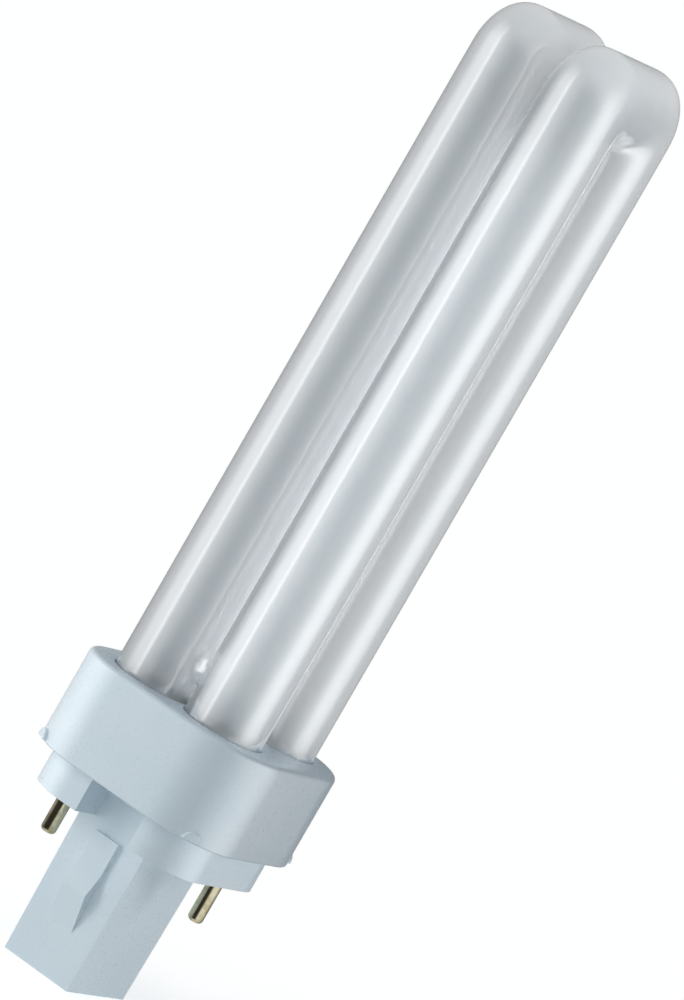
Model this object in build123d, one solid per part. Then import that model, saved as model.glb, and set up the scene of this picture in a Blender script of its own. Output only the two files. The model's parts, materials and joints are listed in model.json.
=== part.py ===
from build123d import *
import math
import os

# A plug-in compact fluorescent lamp with its own starter. It stands on the end of its post with the
# glass up: the origin is the centre of the post's end, Z is the lamp's axis, X runs across the two
# U-shaped tubes and Y along each of them. Millimetres.

# Heights along the axis
OVERALL_HEIGHT = 153.0         # post's end to the top of the glass
SEAT_HEIGHT = 23.2             # post's end to the lugs' seat plane
STEP_HEIGHT = 5.6              # seat plane to the collar's underside
COLLAR_HEIGHT = 14.7           # collar's underside to its top

# Discharge tube: two U's of glass joined by a bridge
TUBE_DIAMETER = 12.3
GLASS_WALL = 1.0
U_GAP = 0.8                    # between the two U's
LEG_GAP = 3.7                  # between the legs of one U
BEND_CORNER_RADIUS = 7.0       # outer corners of a flat-topped bend
ROUNDING_FLAT = 0.1            # flat that the tube's rounding leaves on each side
TUBE_SEAT = 5.0                # how deep the legs reach below the collar's top
LEG_END_WALL = 1.4
BRIDGE_RISE = 6.0              # bridge's centre above the collar's top
BRIDGE_NECK_RADIUS = 2.8
BRIDGE_FLARE_RADIUS = 3.5
BRIDGE_FLARE_REACH = 3.0       # from the neck's middle to its widest, inside the glass
BRIDGE_BORE_RADIUS = 1.8
SEAL_WIDTH = 9.0               # flattened glass at the end of a leg that holds a filament
SEAL_THICKNESS = 3.2
SEAL_LENGTH = 4.0
SEAL_LEAD_PITCH = 4.4

# Collar
COLLAR_RIM = 3.15              # collar's material outside the glass
COLLAR_CORNER_RADIUS = 10.4
COLLAR_WALL = 2.0
COLLAR_TOP_THICKNESS = 1.6
COLLAR_EDGE_ROUND = 0.8
SKIRT_EDGE_ROUND = 0.3         # round the skirt's lower edge
REBATE_WALL = 1.4              # thinner skirt round the base's flange
TUBE_CLEARANCE = 0.15
NUB_RADIUS = 1.7               # half-round snap nub on each corner of the skirt
NUB_PROUD = 0.5
CEMENT_DEPTH = 3.0
CEMENT_CLEARANCE = 0.05

# Base: flange, step with two latch channels, post with two catches
FLANGE_THICKNESS = 1.8
FLANGE_CLEARANCE = 0.1
STEP_INSET = 2.6               # step's side inside the collar's side
LUG_WALL = 1.2
LUG_FLOOR = 1.6
CHANNEL_NEAR = 3.8             # channel's short side, measured from the axis
CHANNEL_FAR = 6.2              # channel's long side
CHANNEL_EDGE_ROUND = 0.5
LUG_EDGE_ROUND = 0.35          # round the lugs' lower edges
POST_WIDTH = 12.0              # along X, at the post's end
POST_DEPTH = 16.8              # along Y, at the post's end
POST_DRAFT = 0.75              # degrees that each side leans out towards the seat
POST_WALL = 1.2
POST_FLOOR = 1.4
POST_EDGE_ROUND = 0.4
POST_END_ROUND = 0.3
CATCH_WIDTH = 4.4
CATCH_TIP = 7.2                # heights of the catch above the post's end
CATCH_RIDGE = 13.2
CATCH_STEM = 16.3
CATCH_TOP = 21.7
CATCH_REACH = 2.0              # ridge above the post's face
CATCH_STEM_REACH = 0.8
CATCH_ROOT = 0.6               # part of the catch inside the wall

# Contact pins
PIN_DIAMETER = 2.35
PIN_LENGTH = 7.0               # below the seat plane
PIN_EDGE = 3.1                 # from the step's side to the pin's axis
PIN_OFFSET = 4.1               # across that direction, from the lamp's axis
PIN_TIP_ROUND = 0.7
PIN_STAKE_LIP = 0.25           # thicker part of the pin in the lug's floor
PIN_HEAD_LIP = 0.5
PIN_HEAD_HEIGHT = 0.8
PIN_BORE_DIAMETER = 0.9
PIN_BORE_DEPTH = 5.0
PIN_CLEARANCE = 0.02
PIN_HEAD_CLEARANCE = 0.1

# Starter and capacitor in the post
STARTER_CLEARANCE = 1.3        # glass of the starter to the post's inner sides
STARTER_WALL_GAP = 0.4         # starter to the post's inner end
STARTER_LENGTH = 14.0
STARTER_TIP_RADIUS = 1.5       # flat that it stands on
STARTER_SHOULDER = 2.2
STARTER_SEAL_WIDTH = 4.0
STARTER_SEAL_THICKNESS = 1.6
STARTER_SEAL_LENGTH = 3.0
STARTER_LEAD_PITCH = 2.0
CAPACITOR_WIDTH = 7.0
CAPACITOR_THICKNESS = 4.0
CAPACITOR_LENGTH = 9.0
CAPACITOR_ROUND = 0.6
CAPACITOR_WALL_GAP = 0.6
CAPACITOR_LEAD_PITCH = 4.5

# Lead wires
LEAD_DIAMETER = 0.6
LEAD_BEND = 1.0
LEAD_RISE = 4.0                # straight run above the starter's seal
LEAD_WALL_GAP = 1.0            # wire's axis to the post's inner end
LEAD_OVER_HEAD = 2.2           # level run above a pin's head
LEAD_CLEARANCE = 0.1           # capacitor's lead below the wire that it is soldered to

# Worked-out heights
COLLAR_BOTTOM = SEAT_HEIGHT + STEP_HEIGHT
COLLAR_TOP = COLLAR_BOTTOM + COLLAR_HEIGHT
COLLAR_CEILING = COLLAR_TOP - COLLAR_TOP_THICKNESS
FLANGE_TOP = COLLAR_BOTTOM + FLANGE_THICKNESS
LUG_FLOOR_TOP = SEAT_HEIGHT + LUG_FLOOR
PIN_HEAD_TOP = LUG_FLOOR_TOP + PIN_HEAD_HEIGHT
LEG_END = COLLAR_TOP - TUBE_SEAT
SEAL_END = LEG_END - SEAL_LENGTH
BRIDGE_HEIGHT = COLLAR_TOP + BRIDGE_RISE
STARTER_TOP = POST_FLOOR + STARTER_LENGTH + STARTER_SEAL_LENGTH

# Worked-out places
TUBE_RADIUS = TUBE_DIAMETER / 2
U_PLACE = (TUBE_DIAMETER + U_GAP) / 2          # X of each U
LEG_PLACE = (TUBE_DIAMETER + LEG_GAP) / 2      # Y of each leg
COLLAR_WIDTH = 2 * (max(U_PLACE, LEG_PLACE) + TUBE_RADIUS + COLLAR_RIM)
STEP_WIDTH = COLLAR_WIDTH - 2 * STEP_INSET
FLANGE_WIDTH = COLLAR_WIDTH - 2 * (REBATE_WALL + FLANGE_CLEARANCE)
PIN_PLACE = STEP_WIDTH / 2 - PIN_EDGE
POST_SPREAD = SEAT_HEIGHT * math.tan(math.radians(POST_DRAFT))
POST_INNER_WIDTH = POST_WIDTH - 2 * POST_WALL
POST_INNER_DEPTH = POST_DEPTH - 2 * POST_WALL
STARTER_RADIUS = POST_INNER_WIDTH / 2 - STARTER_CLEARANCE
STARTER_PLACE = -POST_INNER_DEPTH / 2 + STARTER_WALL_GAP + STARTER_RADIUS
CAPACITOR_PLACE = POST_INNER_DEPTH / 2 - CAPACITOR_WALL_GAP - CAPACITOR_THICKNESS / 2
SIDES = {"left": -1, "right": 1}


def rounded_column(width, corner, bottom, top):
    """A square column with rounded corners about the lamp's axis."""
    outline = Plane.XY.offset(bottom) * RectangleRounded(width, width, corner)
    return extrude(outline, top - bottom)


def box_between(low, high):
    """A box given by its lowest and highest corners."""
    size = [b - a for a, b in zip(low, high)]
    return Pos(*low) * Box(*size, align=(Align.MIN, Align.MIN, Align.MIN))


def both_ways(piece):
    """A feature and its twin, half a turn round the lamp's axis."""
    return [piece, Rot(0, 0, 180) * piece]


def u_tube(place, diameter, corner, bottom, top):
    """A flat-topped U of round section: its outline, pulled to the tube's thickness and rounded."""
    radius = diameter / 2
    slot_radius = LEG_PLACE - radius
    slot_top = top - diameter - slot_radius
    outline = Pos(0, bottom) * Rectangle(
        2 * (LEG_PLACE + radius), top - bottom, align=(Align.CENTER, Align.MIN))
    outline = fillet(outline.vertices().group_by(Axis.Y)[-1], corner)
    slot = Pos(0, bottom) * Rectangle(
        2 * slot_radius, slot_top - bottom, align=(Align.CENTER, Align.MIN))
    slot += Pos(0, slot_top) * Circle(slot_radius)
    plate = extrude(Plane.YZ * (outline - slot), radius, both=True)
    long_edges = [
        edge for edge in plate.edges()
        if edge.bounding_box().size.X < ROUNDING_FLAT
        and edge.bounding_box().max.Z > bottom + ROUNDING_FLAT]
    return Pos(place, 0, 0) * fillet(long_edges, radius - ROUNDING_FLAT / 2)


def bridge_neck():
    """The fused neck between the two U's, flared where it meets the glass."""
    reach, neck, flare = BRIDGE_FLARE_REACH, BRIDGE_NECK_RADIUS, BRIDGE_FLARE_RADIUS
    profile = make_face([
        Line((-reach, 0), (-reach, flare)),
        ThreePointArc((-reach, flare), (0, neck), (reach, flare)),
        Line((reach, flare), (reach, 0)),
        Line((reach, 0), (-reach, 0))])
    return Pos(0, -LEG_PLACE, BRIDGE_HEIGHT) * revolve(profile, Axis.X)


def discharge_tube():
    """The sealed vessel: two U's, the bridge, and two flattened seals that carry the lead wires."""
    glass = bridge_neck()
    hollow = Pos(0, -LEG_PLACE, BRIDGE_HEIGHT) * Rot(0, 90, 0) * Cylinder(BRIDGE_BORE_RADIUS, 2 * U_PLACE)
    for side in SIDES.values():
        place = side * U_PLACE
        glass += u_tube(place, TUBE_DIAMETER, BEND_CORNER_RADIUS, LEG_END, OVERALL_HEIGHT)
        seal = Plane.XY.offset(SEAL_END) * Pos(place, LEG_PLACE) * SlotOverall(SEAL_WIDTH, SEAL_THICKNESS)
        glass += extrude(seal, SEAL_LENGTH)
        hollow += u_tube(
            place, TUBE_DIAMETER - 2 * GLASS_WALL, BEND_CORNER_RADIUS - GLASS_WALL,
            LEG_END + LEG_END_WALL, OVERALL_HEIGHT - GLASS_WALL)
    return glass - hollow


def leg_columns(clearance, bottom, top):
    """Round columns at the four legs, a clearance larger than the glass."""
    radius = TUBE_RADIUS + clearance
    columns = []
    for x in (-U_PLACE, U_PLACE):
        for y in (-LEG_PLACE, LEG_PLACE):
            columns.append(extrude(Plane.XY.offset(bottom) * Pos(x, y) * Circle(radius), top - bottom))
    return columns


def snap_nubs():
    """A half-round nub at the bottom edge of each corner of the skirt."""
    corner_centre = COLLAR_WIDTH / 2 - COLLAR_CORNER_RADIUS
    corner_reach = corner_centre * math.sqrt(2) + COLLAR_CORNER_RADIUS
    half_round = make_face([
        ThreePointArc((-NUB_RADIUS, 0), (0, NUB_RADIUS), (NUB_RADIUS, 0)),
        Line((NUB_RADIUS, 0), (-NUB_RADIUS, 0))])
    start = corner_reach - REBATE_WALL / 2
    nub = extrude(Plane.YZ.offset(start) * half_round, corner_reach + NUB_PROUD - start)
    return [Rot(0, 0, turn) * Pos(0, 0, COLLAR_BOTTOM) * nub for turn in (45, 135, 225, 315)]


def collar():
    """The square cap shell with a hole for each leg and a rebate for the base's flange."""
    shell = rounded_column(COLLAR_WIDTH, COLLAR_CORNER_RADIUS, COLLAR_BOTTOM, COLLAR_TOP)
    shell = fillet(shell.faces().sort_by(Axis.Z)[-1].edges(), COLLAR_EDGE_ROUND)
    shell = fillet(shell.faces().sort_by(Axis.Z)[0].edges(), SKIRT_EDGE_ROUND)
    shell += snap_nubs()
    shell -= rounded_column(
        COLLAR_WIDTH - 2 * COLLAR_WALL, COLLAR_CORNER_RADIUS - COLLAR_WALL, FLANGE_TOP, COLLAR_CEILING)
    shell -= rounded_column(
        COLLAR_WIDTH - 2 * REBATE_WALL, COLLAR_CORNER_RADIUS - REBATE_WALL, COLLAR_BOTTOM, FLANGE_TOP)
    return shell - leg_columns(TUBE_CLEARANCE, COLLAR_CEILING, COLLAR_TOP)


def tube_cement():
    """The slab of cement under the collar's top that holds the legs."""
    inset = COLLAR_WALL + CEMENT_CLEARANCE
    bottom = COLLAR_CEILING - CEMENT_DEPTH
    slab = rounded_column(
        COLLAR_WIDTH - 2 * inset, COLLAR_CORNER_RADIUS - inset, bottom, COLLAR_CEILING)
    return slab - leg_columns(CEMENT_CLEARANCE, bottom, COLLAR_CEILING)


def post_face(height):
    """Distance from the axis to the post's broad face at a height."""
    return POST_DEPTH / 2 + height * math.tan(math.radians(POST_DRAFT))


def catch():
    """The latch catch: a wedge with its ridge part way up and a low stem above it."""
    outline = make_face(Polyline(
        (CATCH_ROOT - post_face(CATCH_TIP), CATCH_TIP),
        (-post_face(CATCH_TIP), CATCH_TIP),
        (-post_face(CATCH_RIDGE) - CATCH_REACH, CATCH_RIDGE),
        (-post_face(CATCH_STEM) - CATCH_STEM_REACH, CATCH_STEM),
        (-post_face(CATCH_TOP) - CATCH_STEM_REACH, CATCH_TOP),
        (CATCH_ROOT - post_face(CATCH_TOP), CATCH_TOP),
        close=True))
    return extrude(Plane.YZ * outline, CATCH_WIDTH / 2, both=True)


def post():
    """The solid form of the post, a little narrower at its end, with its catches."""
    end = RectangleRounded(POST_WIDTH, POST_DEPTH, POST_EDGE_ROUND)
    seat = Plane.XY.offset(SEAT_HEIGHT) * RectangleRounded(
        POST_WIDTH + 2 * POST_SPREAD, POST_DEPTH + 2 * POST_SPREAD, POST_EDGE_ROUND)
    column = loft([end, seat])
    column = fillet(column.faces().sort_by(Axis.Z)[0].edges(), POST_END_ROUND)
    return column + both_ways(catch())


def base_channels():
    """The two open channels for the holder's latches, cut back to the post's broad faces."""
    channel = box_between(
        (-CHANNEL_NEAR, -STEP_WIDTH, SEAT_HEIGHT), (CHANNEL_FAR, -post_face(SEAT_HEIGHT), COLLAR_BOTTOM))
    return both_ways(channel)


def base_hollow():
    """The space inside the base: the post's bore and the lugs, with walls left round the channels."""
    lugs = rounded_column(
        STEP_WIDTH - 2 * LUG_WALL, COLLAR_CORNER_RADIUS - STEP_INSET - LUG_WALL, LUG_FLOOR_TOP, FLANGE_TOP)
    channel_walls = box_between(
        (-CHANNEL_NEAR - LUG_WALL, -STEP_WIDTH, LUG_FLOOR_TOP),
        (CHANNEL_FAR + LUG_WALL, -POST_INNER_DEPTH / 2, FLANGE_TOP))
    bore = box_between(
        (-POST_INNER_WIDTH / 2, -POST_INNER_DEPTH / 2, POST_FLOOR),
        (POST_INNER_WIDTH / 2, POST_INNER_DEPTH / 2, FLANGE_TOP))
    return lugs - both_ways(channel_walls) + bore


def pin_holes():
    """A hole through the lug's floor and room for the pin's head, at each pin."""
    hole_radius = PIN_DIAMETER / 2 + PIN_STAKE_LIP + PIN_CLEARANCE
    head_radius = PIN_DIAMETER / 2 + PIN_HEAD_LIP + PIN_HEAD_CLEARANCE
    hole = extrude(Plane.XY.offset(SEAT_HEIGHT) * Circle(hole_radius), LUG_FLOOR)
    room = extrude(Plane.XY.offset(LUG_FLOOR_TOP) * Circle(head_radius), PIN_HEAD_HEIGHT)
    return both_ways(Pos(PIN_PLACE, PIN_OFFSET, 0) * (hole + room))


def base():
    """The lower housing in one moulding: flange, step, lugs and hollow post."""
    step = rounded_column(STEP_WIDTH, COLLAR_CORNER_RADIUS - STEP_INSET, SEAT_HEIGHT, COLLAR_BOTTOM)
    step -= base_channels()
    mouth = step.edges().filter_by(Axis.Z).filter_by(
        lambda edge: abs(edge.center().Y) > STEP_WIDTH / 2 - CHANNEL_EDGE_ROUND
        and -CHANNEL_FAR - CHANNEL_EDGE_ROUND < edge.center().X < CHANNEL_FAR + CHANNEL_EDGE_ROUND)
    step = fillet(mouth, CHANNEL_EDGE_ROUND)
    lower_edges = step.faces().sort_by(Axis.Z)[0].edges().filter_by(
        lambda edge: abs(abs(edge.center().Y) - post_face(SEAT_HEIGHT)) > LUG_EDGE_ROUND
        or abs(edge.center().X) > CHANNEL_FAR)
    step = fillet(lower_edges, LUG_EDGE_ROUND)
    flange_corner = COLLAR_CORNER_RADIUS - REBATE_WALL - FLANGE_CLEARANCE
    body = step + rounded_column(FLANGE_WIDTH, flange_corner, COLLAR_BOTTOM, FLANGE_TOP) + post()
    return body - base_hollow() - pin_holes()


def contact_pin(side):
    """A turned brass pin, staked in the lug's floor under its head, with a bore for its wire."""
    radius = PIN_DIAMETER / 2
    stake = radius + PIN_STAKE_LIP
    head = radius + PIN_HEAD_LIP
    tip = SEAT_HEIGHT - PIN_LENGTH
    profile = make_face([
        Line((0, tip), (radius - PIN_TIP_ROUND, tip)),
        RadiusArc((radius - PIN_TIP_ROUND, tip), (radius, tip + PIN_TIP_ROUND), -PIN_TIP_ROUND),
        Polyline(
            (radius, tip + PIN_TIP_ROUND), (radius, SEAT_HEIGHT), (stake, SEAT_HEIGHT),
            (stake, LUG_FLOOR_TOP), (head, LUG_FLOOR_TOP), (head, PIN_HEAD_TOP),
            (0, PIN_HEAD_TOP), (0, tip))])
    pin = revolve(Plane.XZ * profile, Axis.Z)
    bore_bottom = PIN_HEAD_TOP - PIN_BORE_DEPTH
    pin -= extrude(Plane.XY.offset(bore_bottom) * Circle(PIN_BORE_DIAMETER / 2), PIN_BORE_DEPTH)
    return Pos(side * PIN_PLACE, side * PIN_OFFSET, 0) * pin


def glow_starter():
    """The small glow switch: a blown bulb standing on its flat tip, with a flattened seal on top."""
    radius = STARTER_RADIUS
    shoulder = STARTER_SHOULDER
    bulb = make_face([
        Line((0, 0), (STARTER_TIP_RADIUS, 0)),
        TangentArc((STARTER_TIP_RADIUS, 0), (radius, shoulder), tangent=(1, 0)),
        Line((radius, shoulder), (radius, STARTER_LENGTH - shoulder)),
        TangentArc(
            (radius, STARTER_LENGTH - shoulder), (STARTER_TIP_RADIUS, STARTER_LENGTH), tangent=(0, 1)),
        Polyline((STARTER_TIP_RADIUS, STARTER_LENGTH), (0, STARTER_LENGTH), (0, 0))])
    glass = revolve(Plane.XZ * bulb, Axis.Z)
    seal = SlotOverall(STARTER_SEAL_WIDTH, STARTER_SEAL_THICKNESS)
    glass += extrude(
        Plane.XY.offset(STARTER_LENGTH - shoulder) * seal, shoulder + STARTER_SEAL_LENGTH)
    return Pos(0, STARTER_PLACE, POST_FLOOR) * glass


def starter_route(side):
    """The wire from a glass seal, over the capacitor, down to the starter's seal."""
    seal_x = side * (U_PLACE - SEAL_LEAD_PITCH / 2)
    drop_x = side * CAPACITOR_LEAD_PITCH / 2
    drop_y = POST_INNER_DEPTH / 2 - LEAD_WALL_GAP
    starter_x = side * STARTER_LEAD_PITCH / 2
    level = (SEAL_END + FLANGE_TOP) / 2
    turn_height = STARTER_TOP + LEAD_RISE
    return [
        Vector(seal_x, LEG_PLACE, SEAL_END),
        Vector(seal_x, LEG_PLACE, level),
        Vector(drop_x, drop_y, level),
        Vector(drop_x, drop_y, turn_height),
        Vector(starter_x, STARTER_PLACE, turn_height),
        Vector(starter_x, STARTER_PLACE, STARTER_TOP)]


def pin_route(side):
    """The wire from a glass seal to the bore of its pin."""
    seal_x = side * (U_PLACE + SEAL_LEAD_PITCH / 2)
    level = PIN_HEAD_TOP + LEAD_OVER_HEAD
    pin_x, pin_y = side * PIN_PLACE, side * PIN_OFFSET
    return [
        Vector(seal_x, LEG_PLACE, SEAL_END),
        Vector(seal_x, LEG_PLACE, level),
        Vector(pin_x, pin_y, level),
        Vector(pin_x, pin_y, PIN_HEAD_TOP - PIN_BORE_DEPTH + LEAD_DIAMETER)]


def lead(route):
    """A wire along straight runs joined by arcs."""
    path = FilletPolyline(*route, radius=LEAD_BEND)
    section = Plane(origin=route[0], z_dir=(route[1] - route[0])) * Circle(LEAD_DIAMETER / 2)
    return sweep(section, path)


def capacitor():
    """The film capacitor on the post's floor, with two leads up to the starter's wires."""
    body = Box(
        CAPACITOR_WIDTH, CAPACITOR_THICKNESS, CAPACITOR_LENGTH,
        align=(Align.CENTER, Align.CENTER, Align.MIN))
    rounded = body.edges().filter_by(Axis.Z) + body.faces().sort_by(Axis.Z)[-1].edges()
    body = fillet(rounded, CAPACITOR_ROUND)
    lead_bottom = CAPACITOR_LENGTH / 2
    lead_top = STARTER_TOP + LEAD_RISE - LEAD_DIAMETER / 2 - LEAD_CLEARANCE - POST_FLOOR
    for side in SIDES.values():
        start, end = starter_route(side)[3:5]
        share = (start.Y - CAPACITOR_PLACE) / (start.Y - end.Y)
        wire_x = start.X + share * (end.X - start.X)
        section = Plane.XY.offset(lead_bottom) * Pos(wire_x, 0) * Circle(LEAD_DIAMETER / 2)
        body += extrude(section, lead_top - lead_bottom)
    return Pos(0, CAPACITOR_PLACE, POST_FLOOR) * body


PIECES = {
    "discharge_tube": discharge_tube(),
    "collar": collar(),
    "tube_cement": tube_cement(),
    "base": base(),
    "glow_starter": glow_starter(),
    "capacitor": capacitor(),
}
for name, side in SIDES.items():
    PIECES[f"contact_pin_{name}"] = contact_pin(side)
    PIECES[f"pin_lead_{name}"] = lead(pin_route(side))
    PIECES[f"starter_lead_{name}"] = lead(starter_route(side))

os.makedirs("parts", exist_ok=True)
for name, piece in PIECES.items():
    solids = piece.solids()
    export_step(solids[0] if len(solids) == 1 else piece, f"parts/{name}.step")
    print(name, len(solids), "solid", round(piece.volume, 1), "mm3")
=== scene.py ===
# %% [markdown]
# A plug-in compact fluorescent lamp, dressed for a studio picture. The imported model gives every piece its
# place and size, so this lesson only adds good meshes, finishes, light and a camera. All lengths are in
# metres. Z is the lamp's axis with the glass up, X runs across the two U-shaped tubes and Y along each one.

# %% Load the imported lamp
import json
import math

import bmesh
import bpy
from mathutils import Matrix, Vector


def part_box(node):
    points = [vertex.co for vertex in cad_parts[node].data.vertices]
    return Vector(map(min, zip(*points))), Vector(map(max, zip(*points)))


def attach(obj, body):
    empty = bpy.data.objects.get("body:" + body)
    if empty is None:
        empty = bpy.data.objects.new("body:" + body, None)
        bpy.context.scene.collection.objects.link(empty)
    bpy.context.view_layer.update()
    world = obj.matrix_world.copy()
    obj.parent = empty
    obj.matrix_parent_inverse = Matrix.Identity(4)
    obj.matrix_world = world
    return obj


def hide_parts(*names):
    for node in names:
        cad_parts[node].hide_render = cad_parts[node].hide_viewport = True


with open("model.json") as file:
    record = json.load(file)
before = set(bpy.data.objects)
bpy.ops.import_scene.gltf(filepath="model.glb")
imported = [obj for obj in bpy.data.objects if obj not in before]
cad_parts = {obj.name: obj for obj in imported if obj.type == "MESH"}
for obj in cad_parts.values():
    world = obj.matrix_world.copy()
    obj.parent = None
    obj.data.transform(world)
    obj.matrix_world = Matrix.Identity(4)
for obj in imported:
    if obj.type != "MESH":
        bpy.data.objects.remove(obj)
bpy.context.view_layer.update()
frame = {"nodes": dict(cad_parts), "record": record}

scene = bpy.context.scene
scene.view_settings.view_transform = "Standard"
print("packed nodes:", ", ".join(sorted(frame["nodes"])))

# %% [markdown]
# The camera comes first, because every later choice is judged through it. The lamp leans to the right in
# the picture. It could be tipped over in the scene, but then it would no longer stand on its post, so the
# camera is rolled about its own axis instead. A long lens keeps the tubes almost parallel.

# %% Camera
VIEW_AZIMUTH = math.radians(27.09)
VIEW_ELEVATION = math.radians(7.11)
VIEW_ROLL = math.radians(29.98)
VIEW_DISTANCE = 0.9616
VIEW_CENTRE = Vector((0, 0, 0.0765))           # the camera's distance is measured from here
VIEW_AIM = Vector((0.00042, 0.00051, 0.07861))  # the point in the middle of the picture
LENS_MM = 245.93
SENSOR_MM = 36.0


def level_direction(turn):
    """A level direction out from the lamp, turned to the camera's right from the camera's own azimuth."""
    return Vector((math.sin(VIEW_AZIMUTH + turn), -math.cos(VIEW_AZIMUTH + turn), 0))


def place_camera():
    """The camera at the photograph's angle, rolled so that the lamp leans."""
    out = level_direction(0) * math.cos(VIEW_ELEVATION) + Vector((0, 0, math.sin(VIEW_ELEVATION)))
    place = VIEW_CENTRE + VIEW_DISTANCE * out
    back = (place - VIEW_AIM).normalized()
    level = Vector((0, 0, 1)).cross(back).normalized()
    rise = back.cross(level)
    right = math.cos(VIEW_ROLL) * level + math.sin(VIEW_ROLL) * rise
    up = math.cos(VIEW_ROLL) * rise - math.sin(VIEW_ROLL) * level
    data = bpy.data.cameras.new("camera")
    data.sensor_width = SENSOR_MM
    data.lens = LENS_MM
    camera = bpy.data.objects.new("camera", data)
    scene.collection.objects.link(camera)
    camera.matrix_world = Matrix.Translation(place) @ Matrix((right, up, back)).transposed().to_4x4()
    return camera


scene.camera = place_camera()
print("camera at", [round(c, 4) for c in scene.camera.location])

# %% [markdown]
# The floor makes the white ground. It could simply be very bright, but then it would also flood the lamp
# with light. Light Path tells the two jobs apart: rays that the camera, a reflection or a clear glass sends
# out see a white ground, and all other rays see a softly lit table. The lamp's own lights don't reach the
# floor, so a broad soft sun lights it alone, and the lamp's shadow shows. Mirror reflections are left to
# the studio's walls, which come later and reach below the floor.

# %% Floor
FLOOR_HALF = 12.0
FLOOR_COLOUR = (0.95, 0.95, 0.95, 1)
FLOOR_GLOW = 0.57              # lifts the floor to white where it is looked at
FLOOR_FILL = 0.04              # the light table's own glow, which fills the lamp's undersides
FLOOR_SUN = 0.463              # the brightness of the soft sun that lights the floor alone
FLOOR_SUN_SPREAD = math.radians(40)
FLOOR_SUN_TILT = math.radians(20)
FLOOR_SUN_TURN = math.radians(-60)   # to the camera's left
WHITE = (1, 1, 1, 1)


def looked_at(tree):
    """One socket that is 1 for rays from the camera, a mirror reflection or clear glass."""
    path = tree.nodes.new("ShaderNodeLightPath")
    first = tree.nodes.new("ShaderNodeMath")
    first.operation = "MAXIMUM"
    tree.links.new(path.outputs["Is Camera Ray"], first.inputs[0])
    tree.links.new(path.outputs["Is Glossy Ray"], first.inputs[1])
    second = tree.nodes.new("ShaderNodeMath")
    second.operation = "MAXIMUM"
    tree.links.new(first.outputs[0], second.inputs[0])
    tree.links.new(path.outputs["Is Transmission Ray"], second.inputs[1])
    return second.outputs[0]


def floor_material():
    """A pale matt light table that glows more for the rays that look at it."""
    material = bpy.data.materials.new("pale_floor")
    material.use_nodes = True
    tree = material.node_tree
    tree.nodes.clear()
    matt = tree.nodes.new("ShaderNodeBsdfDiffuse")
    matt.inputs["Color"].default_value = FLOOR_COLOUR
    glow = tree.nodes.new("ShaderNodeEmission")
    glow.inputs["Color"].default_value = WHITE
    strength = tree.nodes.new("ShaderNodeMath")
    strength.operation = "MULTIPLY_ADD"
    strength.inputs[1].default_value = FLOOR_GLOW - FLOOR_FILL
    strength.inputs[2].default_value = FLOOR_FILL
    tree.links.new(looked_at(tree), strength.inputs[0])
    tree.links.new(strength.outputs[0], glow.inputs["Strength"])
    both = tree.nodes.new("ShaderNodeAddShader")
    tree.links.new(matt.outputs[0], both.inputs[0])
    tree.links.new(glow.outputs[0], both.inputs[1])
    output = tree.nodes.new("ShaderNodeOutputMaterial")
    tree.links.new(both.outputs[0], output.inputs["Surface"])
    return material


def object_from(name, bm):
    """A new object at the origin that holds a finished bmesh."""
    mesh = bpy.data.meshes.new(name)
    bm.to_mesh(mesh)
    bm.free()
    made = bpy.data.objects.new(name, mesh)
    scene.collection.objects.link(made)
    return made


def make_floor():
    """A wide square under the post's end."""
    bm = bmesh.new()
    bmesh.ops.create_grid(bm, x_segments=1, y_segments=1, size=FLOOR_HALF)
    floor = object_from("floor", bm)
    floor.data.materials.append(floor_material())
    floor.visible_glossy = False   # reflections see the walls instead
    return floor


def make_floor_sun(floor):
    """A broad soft sun that lights the floor alone, so that the lamp's shadow shows on it."""
    data = bpy.data.lights.new("floor_sun", "SUN")
    data.energy = FLOOR_SUN
    data.angle = FLOOR_SUN_SPREAD
    sun = bpy.data.objects.new("floor_sun", data)
    scene.collection.objects.link(sun)
    up = Vector((0, 0, 1))
    out = level_direction(FLOOR_SUN_TURN) * math.sin(FLOOR_SUN_TILT) + up * math.cos(FLOOR_SUN_TILT)
    sun.matrix_world = up.rotation_difference(out).to_matrix().to_4x4()
    lit = bpy.data.collections.new("lit_floor")
    lit.objects.link(floor)
    sun.light_linking.receiver_collection = lit


make_floor_sun(make_floor())
print("floor half width", FLOOR_HALF)

# %% [markdown]
# The world does two jobs in the same way: it is white to look at, and a soft pale sky for light. A picture
# of a real sky could light the lamp too, but it would tint the pale plastic, so the sky is plain.

# %% World
SKY_COLOUR = (0.93, 0.97, 1.0, 1)
SKY_STRENGTH = 0.33


def make_world():
    """A white surround to look at, and a soft pale sky for light."""
    world = bpy.data.worlds.new("studio")
    scene.world = world
    world.use_nodes = True
    tree = world.node_tree
    sky = tree.nodes["Background"]
    sky.inputs["Color"].default_value = SKY_COLOUR
    sky.inputs["Strength"].default_value = SKY_STRENGTH
    ground = tree.nodes.new("ShaderNodeBackground")
    ground.inputs["Color"].default_value = WHITE
    ground.inputs["Strength"].default_value = 1.0
    choose = tree.nodes.new("ShaderNodeMixShader")
    tree.links.new(looked_at(tree), choose.inputs["Fac"])
    tree.links.new(sky.outputs[0], choose.inputs[1])
    tree.links.new(ground.outputs[0], choose.inputs[2])
    tree.links.new(choose.outputs[0], tree.nodes["World Output"].inputs["Surface"])


make_world()
print("sky strength", SKY_STRENGTH)

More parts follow.
